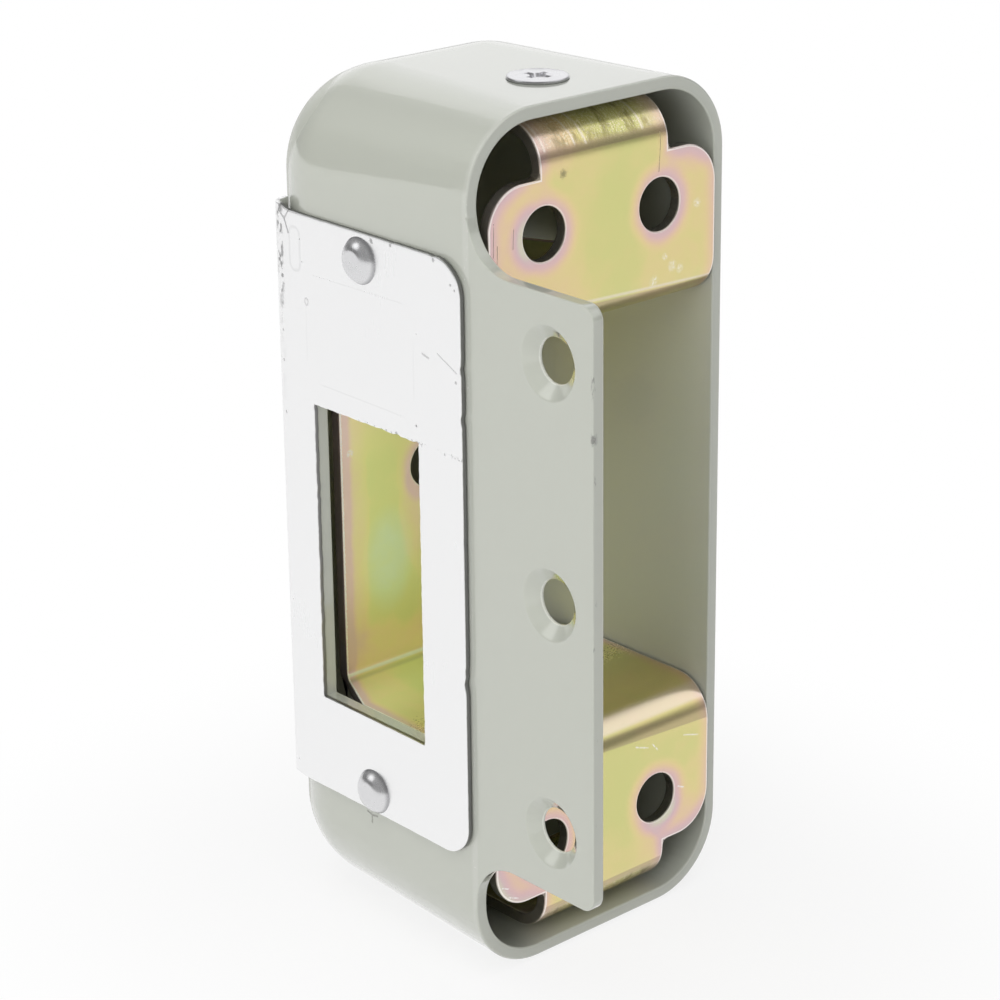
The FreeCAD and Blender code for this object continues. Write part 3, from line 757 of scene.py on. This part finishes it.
class STRIKE_OT_bracket(bpy.types.Operator):
    """Dress the bent bracket: rolled edges and yellow passivated zinc"""
    bl_idname = "strike.bracket"
    bl_label = "Bracket"

    def execute(self, context):
        look = context.scene.strike_bracket
        piece = merged_copy("bracket", "zinc_bracket", BRACKET_CUTS)
        round_edges(piece, look.edge, 3, 32, use_clamp_overlap=False, loop_slide=False, miter_outer="MITER_ARC")
        smooth(piece, 40)
        flatten(piece)
        layer = piece.data.uv_layers.new(name="blank")
        for loop in piece.data.loops:
            at = piece.data.vertices[loop.vertex_index].co
            layer.data[loop.index].uv = self.on_blank(at / MM)
        dress(piece, zinc_finish(look), "yellow_zinc", "bracket")
        return {"FINISHED"}

    def on_blank(self, at):
        """Where a place of the bent sheet, in mm, lies on the flat blank"""
        y, z = at.y, abs(at.z)
        # Where the straight runs end, and the radii of the small and the large bends at the middle of the sheet
        web_end, back, front = SHELF_Z - 1.0, WEB_Y - 1.0, 5.0
        tab_start, tab_end = SHELF_Z + front, 45.0
        small, large, quarter = 1.75, 4.25, math.pi / 2
        to_shelf = web_end + small * quarter
        to_tab = to_shelf + back - front
        tab = to_tab + large * quarter
        lip = tab + tab_end - tab_start
        if z < web_end and y > back - 1.0:
            along = z
        elif y > back and z < SHELF_Z + 2.0:
            along = web_end + small * math.atan2(z - web_end, max(y - back, 1e-6))
        elif z < 27.5 and y > front:
            along = to_shelf + back - y
        elif z < tab_start:
            along = to_tab + large * math.atan2(max(front - y, 0.0), max(tab_start - z, 1e-6))
        elif z < tab_end:
            along = tab + z - tab_start
        elif y < front:
            along = lip + large * math.atan2(z - tab_end, max(front - y, 1e-6))
        else:
            along = lip + large * quarter + y - front
        return at.x / UV_UNIT, math.copysign(along, at.z) / UV_UNIT


class STRIKE_OT_wear_plate(bpy.types.Operator):
    """Model the wear plate from a flat sheet: window, round corners, folded far edge and ragged shear lines"""
    bl_idname = "strike.wear_plate"
    bl_label = "Wear plate"

    # Place along an edge, depth and half width of each nick, in mm
    near_nicks = [(24.3, 0.22, 0.7), (18.5, 0.24, 0.8), (-13.6, 0.3, 1.2), (-12.0, 0.16, 0.6), (4.0, 0.05, 1.2)]
    window_nicks = [(12.4, 0.22, 0.6), (8.9, 0.18, 0.6), (10.8, 0.08, 0.9), (15.0, 0.06, 1.4)]
    top_nicks = [(12.8, 0.08, 0.5), (5.65, 0.12, 0.4)]

    def execute(self, context):
        look = context.scene.strike_plate
        face, fold_at = PLATE_LOW.x, PLATE_HIGH.y - look.fold
        ys = [PLATE_LOW.y, *(y * MM for y in WINDOW_Y), fold_at]
        zs = [PLATE_LOW.z, *(z * MM for z in WINDOW_Z), PLATE_HIGH.z]
        piece = self.sheet(face, ys, zs, look.cell)
        self.shape(piece, lambda at: self.round_corner(at, ys, zs, look.corner))
        pick(piece, "EDGE", lambda e: all(v.co.y > fold_at - 0.01 * MM for v in e.verts))
        bpy.ops.mesh.spin(
            steps=6, angle=math.pi / 2, center=(face + look.fold, fold_at, 0), axis=(0, 0, 1), dupli=False)
        bpy.ops.mesh.extrude_region_move(TRANSFORM_OT_translate={"value": (PLATE_HIGH.x - face - look.fold, 0, 0)})
        weld()
        self.shape(piece, lambda at: self.shear(at, ys, zs, look))
        face_out()
        leave()
        if piece.data.polygons[0].normal.x > 0:
            edit(piece)
            pick_all()
            bpy.ops.mesh.flip_normals()
            leave()
        apply(piece, "SOLIDIFY", thickness=look.sheet, offset=-1.0, use_even_offset=True)
        round_edges(piece, look.edge, 2, 50, use_clamp_overlap=False, loop_slide=False)
        smooth(piece, 40)
        dress(piece, sheet_finish(look), "bright_plate", "wear_plate")
        return {"FINISHED"}

    def sheet(self, face, ys, zs, cell):
        """A flat sheet in a regular grid of small faces, with the window left open"""
        pick_none()
        bpy.ops.mesh.primitive_plane_add(size=1.0, rotation=(0, -math.pi / 2, 0))
        piece = bpy.context.object
        piece.name = piece.data.name = "scratched_plate"
        piece.scale = (zs[3] - zs[0], ys[3] - ys[0], 1.0)
        piece.location = (face, (ys[0] + ys[3]) / 2, (zs[0] + zs[3]) / 2)
        settle(piece)
        edit(piece)
        ways = (ys, Vector((0, 1, 0))), (zs, Vector((0, 0, 1)))
        for lines, along in ways:
            for at in lines[1:3]:
                pick_all()
                bpy.ops.mesh.bisect(plane_co=along * at, plane_no=along)
        for lines, along in ways:
            for start, end in zip(lines, lines[1:]):
                pick(piece, "EDGE", lambda e, a=along, s=start, t=end: self.runs(e, a, s, t))
                bpy.ops.mesh.subdivide(number_cuts=round((end - start) / cell) - 1)
        pick(piece, "FACE", lambda f: self.within(f.calc_center_median(), ys, zs))
        bpy.ops.mesh.delete(type="FACE")
        return piece

    def runs(self, e, along, start, end):
        """True for an edge that spans a strip from its start to its end"""
        low, high = sorted(v.co.dot(along) for v in e.verts)
        return abs(low - start) < 0.01 * MM and abs(high - end) < 0.01 * MM

    def within(self, at, ys, zs):
        return ys[1] < at.y < ys[2] and zs[1] < at.z < zs[2]

    def shape(self, piece, move):
        """Moves each vertex in edit mode to where a function sends it"""
        mesh = bmesh.from_edit_mesh(piece.data)
        for v in mesh.verts:
            v.co = move(v.co.copy())
        bmesh.update_edit_mesh(piece.data)

    def round_corner(self, at, ys, zs, radius):
        """Draws each near corner's square in to a quarter disc"""
        for end, side in ((zs[3], 1), (zs[0], -1)):
            a = ys[0] + radius - at.y
            b = (at.z - end) * side + radius
            if a > 0 and b > 0:
                k = max(a, b) / math.hypot(a, b)
                at.y = ys[0] + radius - a * k
                at.z = end + side * (b * k - radius)
        return at

    def wander(self, t, seed):
        """How far a sheared edge strays at a place along it, about -1 to 1"""
        return noise.noise(Vector((t * 0.8, seed, 0.5))) * 0.8 + noise.noise(Vector((t * 3.1, seed, 8.5)))

    def cuts(self, t, nicks):
        return sum(depth * math.exp(-3.0 * ((t - at) / wide) ** 2) for at, depth, wide in nicks)

    def shear(self, at, ys, zs, look):
        """Strays along the sheared edges, fading inwards, with the bow and the sprung fold"""
        y, z = at.y / MM, at.z / MM
        ragged = look.ragged / MM
        near, left, right, fold = [v / MM for v in ys]
        bottom, sill, lintel, top = [v / MM for v in zs]
        reach = 1.4

        def fade(away):
            return max(0.0, 1.0 - abs(away) / reach)

        def beside(t, start, end):
            return held((min(t - start, end - t) + reach) / reach)

        def frayed(t, seed):
            return abs(self.wander(t, seed)) * ragged * 0.7

        if y < fold + 0.01:
            dy = fade(y - near) * (frayed(z, 1.0) + self.cuts(z, self.near_nicks) - 0.22)
            dz = -fade(z - top) * (frayed(y, 2.0) + self.cuts(y, self.top_nicks))
            dz += fade(z - bottom) * frayed(y, 3.0)
            side = beside(z, sill, lintel)
            dy += side * fade(y - left) * self.wander(z, 4.0) * ragged * 1.2
            dy += side * fade(y - right) * self.wander(z, 5.0) * ragged * 1.4
            side = beside(y, left, right)
            dz += side * fade(z - lintel) * (self.cuts(y, self.window_nicks) + self.wander(y, 6.0) * ragged)
            dz += side * fade(z - sill) * self.wander(y, 7.0) * ragged * 0.6
            y, z = y + dy, z + dz
        # The fold has sprung up at its top end and is cut short at its bottom end
        over = held((y - 31.0) / 1.8) ** 2 * held((z - 28.0) / 8.0)
        under = held((y - 32.0) / 1.2) * held((-z - 30.0) / 6.0)
        lip = held((at.x - PLATE_LOW.x) / MM)
        z += over * (0.55 + 0.3 * lip) + under * 0.28
        standing = max(0.0, (RIVET_Y - y) / 17.5) ** 2
        return Vector((at.x - look.bow * standing, y * MM, z * MM))


class STRIKE_OT_rivets(bpy.types.Operator):
    """Turn the two rivets: domed head with a hammered crown, shank and flattened tail"""
    bl_idname = "strike.rivets"
    bl_label = "Rivets"

    rings = [
        (0.45, -1.19), (0.85, -1.215), (1.1, -1.245), (1.3, -1.235), (1.5, -1.185), (1.75, -1.085), (2.02, -0.93),
        (2.28, -0.715), (2.5, -0.47), (2.67, -0.22), (2.79, -0.03), (2.76, 0.02), (1.3, 0.02), (1.3, 2.2),
        (1.9, 2.2), (2.0, 2.32), (1.96, 2.62), (1.7, 2.9), (1.0, 3.0)]

    def execute(self, context):
        look = context.scene.strike_fastener
        for node in ("upper_rivet", "lower_rivet"):
            low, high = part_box(node)
            centre = (low + high) / 2
            piece = lathe("bright_" + node, self.rings, 56)
            piece.rotation_euler = (0, math.pi / 2, 0)
            piece.location = (PLATE_LOW.x, centre.y, centre.z)
            settle(piece)
            smooth(piece, 40)
            tone = steel_finish(node + "_steel", look.rivet, 0.27, (centre.y / MM, centre.z / MM), 0, 2.75)
            dress(piece, tone, "rivet_steel", node)
        return {"FINISHED"}


class STRIKE_OT_screws(bpy.types.Operator):
    """Turn the two cover screws: countersunk head with a cross recess and a rolled thread"""
    bl_idname = "strike.screws"
    bl_label = "Cover screws"

    def execute(self, context):
        look = context.scene.strike_fastener
        for node, side in (("top_screw", 1), ("bottom_screw", -1)):
            low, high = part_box(node)
            centre = (low + high) / 2
            piece = self.head()
            self.cut_recess(piece, look)
            shank = self.thread(look)
            only(piece)
            shank.select_set(True)
            bpy.ops.object.join()
            piece.name = piece.data.name = "zinc_" + node
            smooth(piece, 35)
            if side < 0:
                piece.rotation_euler = (math.pi, 0, 0)
            piece.location = (centre.x, centre.y, high.z if side > 0 else low.z)
            settle(piece)
            tone = steel_finish(node + "_zinc", look.screw, 0.24, (centre.x / MM, centre.y / MM), 2, 3.62)
            dress(piece, tone, "screw_zinc", node)
        return {"FINISHED"}

    def head(self):
        """The head with its face at zero, down to the start of the thread"""
        rings = [(3.42, 0.0), (3.54, -0.03), (3.6, -0.11), (3.6, -0.32), (3.54, -0.42), (2.02, -1.98), (1.66, -2.1)]
        return lathe("head", rings, 64)

    def cut_recess(self, piece, look):
        """Cuts the tapered cross out of the head"""
        cutters = []
        for quarter in (0, math.pi / 2):
            pick_none()
            bpy.ops.mesh.primitive_cube_add(size=1.0, location=(0, 0, -0.5 * MM))
            bar = bpy.context.object
            bar.scale = (look.recess, look.slot, 1.8 * MM)
            settle(bar)
            edit(bar)
            pick(bar, "FACE", lambda f: f.normal.z < -0.5)
            bpy.ops.transform.resize(value=(0.3, 0.55, 1), center_override=(0, 0, -1.4 * MM))
            leave()
            bar.rotation_euler = (0, 0, quarter + math.radians(12))
            settle(bar)
            cutters.append(bar)
        cutters.append(lathe("bit", [(1.05, 0.2), (0.95, -0.05), (0.42, -1.45)], 24))
        for tool in cutters:
            apply(piece, "BOOLEAN", operation="DIFFERENCE", object=tool, solver="EXACT")
            bpy.data.objects.remove(tool)
        round_edges(piece, 0.03 * MM, 2, 55)

    def thread(self, look):
        """A ridge wound down the shank, closed at both ends"""
        root, crest = 1.98 * MM - look.thread, 1.98 * MM
        turns = 8
        pick_none()
        bpy.ops.mesh.primitive_plane_add(size=1.0)
        piece = bpy.context.object
        edit(piece)
        pick_all()
        bpy.ops.mesh.delete(type="ONLY_FACE")
        pick(piece, "EDGE", lambda e: e.verts[0].co.x < 0 and e.verts[1].co.x < 0)
        bpy.ops.mesh.delete(type="EDGE")
        mesh = bmesh.from_edit_mesh(piece.data)
        run = sorted(mesh.verts, key=lambda v: (v.co.x, v.co.y))
        for vert, reach, down in zip(run, (root, root, crest, crest), (0.0, 1.0, 0.42, 0.58)):
            vert.co = (reach, 0, -look.pitch * down)
        bmesh.update_edit_mesh(piece.data)
        leave()
        apply(piece, "SCREW", axis="Z", angle=2 * math.pi, screw_offset=-look.pitch, iterations=turns, steps=28,
              render_steps=28, use_merge_vertices=True, merge_threshold=0.001 * MM, use_smooth_shade=True)
        edit(piece)
        weld()
        middle = -look.pitch * (turns + 1) / 2
        for upper in (True, False):
            pick(piece, "EDGE", lambda e, up=upper: e.is_boundary and ((e.verts[0].co.z > middle) == up))
            bpy.ops.mesh.edge_face_add()
        face_out()
        leave()
        piece.location = (0, 0, -1.7 * MM)
        settle(piece)
        return piece


class STRIKE_OT_stage(bpy.types.Operator):
    """Set up the white table, the lamps and the camera"""
    bl_idname = "strike.stage"
    bl_label = "Stage"

    def execute(self, context):
        look = context.scene.strike_stage
        self.table(look)
        self.surround(look)
        self.lamp("top_lamp", (-0.25, -0.1, 1.1), 1.3, look.key)
        self.lamp("left_lamp", (-1.2, -0.45, 0.34), 1.2, look.side)
        self.lamp("front_lamp", (0.45, -1.1, 0.3), 0.7, look.fill)
        self.camera(context, look)
        context.scene.view_settings.view_transform = "Standard"
        return {"FINISHED"}

    def table(self, look):
        pick_none()
        bpy.ops.mesh.primitive_plane_add(size=12.0, location=(0, 0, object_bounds()[0].z))
        floor = bpy.context.object
        floor.name = "table"
        f = Finish("white_table")
        x, y, z = f.axes(f.place())
        away = (0.0 - inside_box(x, y, (0.0, 10.4), (RIM_HALF[0], 29.8), 10.0)).rise(4.0, 60.0)
        seen = f.ray("Camera")
        mirrored = (f.ray("Glossy") + f.ray("Transmission")).clamped()
        share = seen * (0.82 + away * 0.18) + mirrored * 0.92
        tone = f.mix(seen, look.floor, (0.93, 0.93, 0.93))
        cloth = f.node("BsdfDiffuse", {"Color": tone})
        bright = f.node("Emission")
        f.output(f.node("MixShader", {0: share.clamped(), 1: cloth, 2: bright}))
        floor.data.materials.append(f.owner)
        floor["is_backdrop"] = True

    def surround(self, look):
        """White all round for the eye; in reflections a dim room with bright panels behind and in front"""
        f = Finish("surround", "worlds")
        bpy.context.scene.world = f.owner
        x, y, z = f.parts(f.node("TexCoord", output="Generated"))
        glossy = f.ray("Glossy")
        front = y.fall(-0.3, 0.1) * x.rise(-0.4, 0.0) * z.rise(0.27, 0.37) * z.fall(0.72, 0.86)
        back = y.rise(0.0, 0.4) * x.rise(0.0, 0.35) * z.rise(-0.02, 0.06)
        facing = x * -0.61 + y * 0.53 + z * 0.6
        box = facing.rise(0.955, 0.985)
        left = x.fall(-0.35, 0.05) * y.rise(0.1, 0.4) * z.fall(0.3, 0.5)
        room = look.dim * (1.0 - left * 0.55) + front * 0.8 + back * 0.75 + box * 1.1
        shown = (f.ray("Camera") + f.ray("Transmission")).clamped()
        strength = look.sky * (1.0 - glossy) + glossy * room
        strength = strength * (1.0 - shown) + shown
        light = f.node("Background", {"Color": (1.0, 1.0, 1.0), "Strength": strength})
        f.output(light, "World")

    def lamp(self, name, place, size, power):
        data = bpy.data.lights.new(name, "AREA")
        data.shape = "SQUARE"
        data.size = size
        data.energy = power
        lamp = bpy.data.objects.new(name, data)
        lamp.visible_glossy = False
        bpy.context.scene.collection.objects.link(lamp)
        lamp.location = place
        lamp.rotation_euler = (-Vector(place)).to_track_quat("-Z", "Y").to_euler()

    def camera(self, context, look):
        data = bpy.data.cameras.new("camera")
        data.sensor_width = 36.0
        data.lens = look.lens
        data.shift_x = -0.081478
        data.shift_y = -0.06573
        data.clip_start = 0.01
        eye = bpy.data.objects.new("camera", data)
        context.scene.collection.objects.link(eye)
        aim = Matrix.Rotation(-look.heading, 4, "Z") @ Matrix.Rotation(math.pi / 2 - look.pitch, 4, "X")
        eye.matrix_world = Matrix.Translation(look.eye) @ aim @ Matrix.Rotation(-look.roll, 4, "Z")
        context.scene.camera = eye


class STRIKE_PT_panel(bpy.types.Panel):
    """Lists the strike box's pieces"""
    bl_idname = "STRIKE_PT_panel"
    bl_label = "Strike box"
    bl_space_type = "VIEW_3D"
    bl_region_type = "UI"
    bl_category = "Strike box"

    def draw(self, context):
        for operator, group in STEPS:
            box = self.layout.box()
            box.operator(operator.bl_idname)
            look = getattr(context.scene, group)
            for name in look.bl_rna.properties.keys():
                if name not in ("rna_type", "name"):
                    box.prop(look, name)


LOOKS = {
    "strike_cover": CoverLook,
    "strike_bracket": BracketLook,
    "strike_plate": PlateLook,
    "strike_fastener": FastenerLook,
    "strike_stage": StageLook,
}
STEPS = [
    (STRIKE_OT_cover, "strike_cover"),
    (STRIKE_OT_bracket, "strike_bracket"),
    (STRIKE_OT_wear_plate, "strike_plate"),
    (STRIKE_OT_rivets, "strike_fastener"),
    (STRIKE_OT_screws, "strike_fastener"),
    (STRIKE_OT_stage, "strike_stage"),
]


def register():
    for name, look in LOOKS.items():
        bpy.utils.register_class(look)
        setattr(bpy.types.Scene, name, PointerProperty(type=look))
    for operator, _ in STEPS:
        bpy.utils.register_class(operator)
    bpy.utils.register_class(STRIKE_PT_panel)


def unregister():
    bpy.utils.unregister_class(STRIKE_PT_panel)
    for operator, _ in reversed(STEPS):
        bpy.utils.unregister_class(operator)
    for name, look in reversed(LOOKS.items()):
        delattr(bpy.types.Scene, name)
        bpy.utils.unregister_class(look)


def main():
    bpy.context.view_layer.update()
    register()
    for operator, _ in STEPS:
        group, name = operator.bl_idname.split(".")
        getattr(getattr(bpy.ops, group), name)()


if __name__ == "__main__":
    main()
